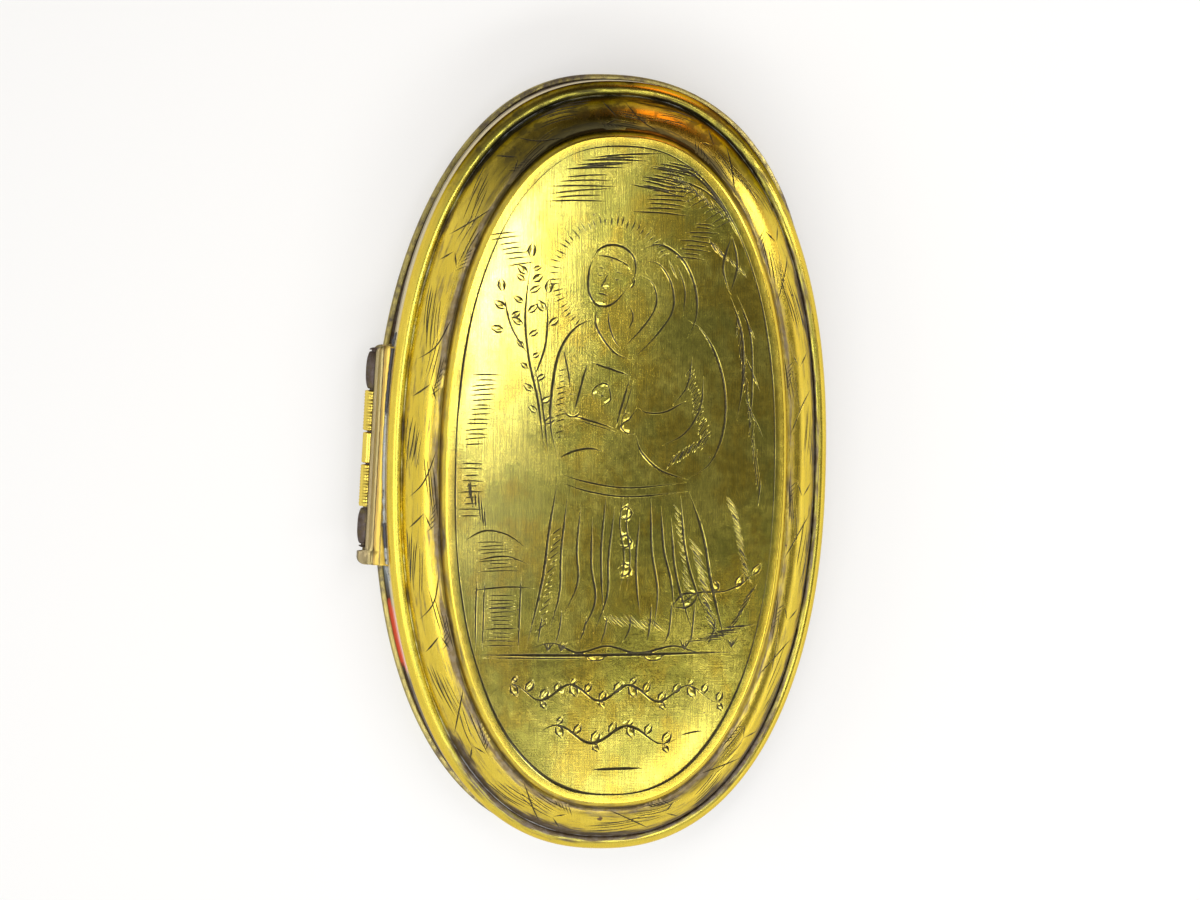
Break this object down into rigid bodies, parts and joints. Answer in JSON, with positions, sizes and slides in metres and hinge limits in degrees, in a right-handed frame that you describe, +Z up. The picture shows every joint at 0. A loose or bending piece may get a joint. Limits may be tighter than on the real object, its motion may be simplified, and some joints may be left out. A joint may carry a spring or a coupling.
{
  "type": "snuff box",
  "caption": "Long oval brass snuff box with a raised moulded lid, hinged along one long side.",
  "frame": {"origin": "centre of the flat underside that the box stands on", "axes": "+Z up through the lid, +Y along the long axis, hinge on the -X side"},
  "size_m": [0.0632, 0.104, 0.0236],
  "materials": {
    "lid_brass": "worn polished brass, engraved, with dark patina in the grooves",
    "case_brass": "duller brass with tool marks and brown patina",
    "hinge_brass": "filed brass strip, tan and grey in the hollows",
    "dark_brass": "brass blackened by age"
  },
  "bodies": {
    "case": {"base_plate": "case_brass", "body_wall": "case_brass", "body_hinge_plate": "hinge_brass", "hinge_tube_1_body": "dark_brass", "hinge_tube_3_body": "hinge_brass", "hinge_tube_5_body": "dark_brass", "hinge_pin": "dark_brass"},
    "lid": {"lid_plate": "lid_brass", "lid_skirt": "lid_brass", "lid_hinge_plate": "hinge_brass", "hinge_tube_2_lid": "hinge_brass", "hinge_tube_4_lid": "hinge_brass"}
  },
  "joints": [
    {"name": "lid_hinge", "type": "hinge", "parent": "case", "child": "lid", "pos_m": [-0.0317, 0.0008, 0.0096], "axis": [-0.0349, -0.9994, 0], "range_deg": [0, 105]}
  ]
}
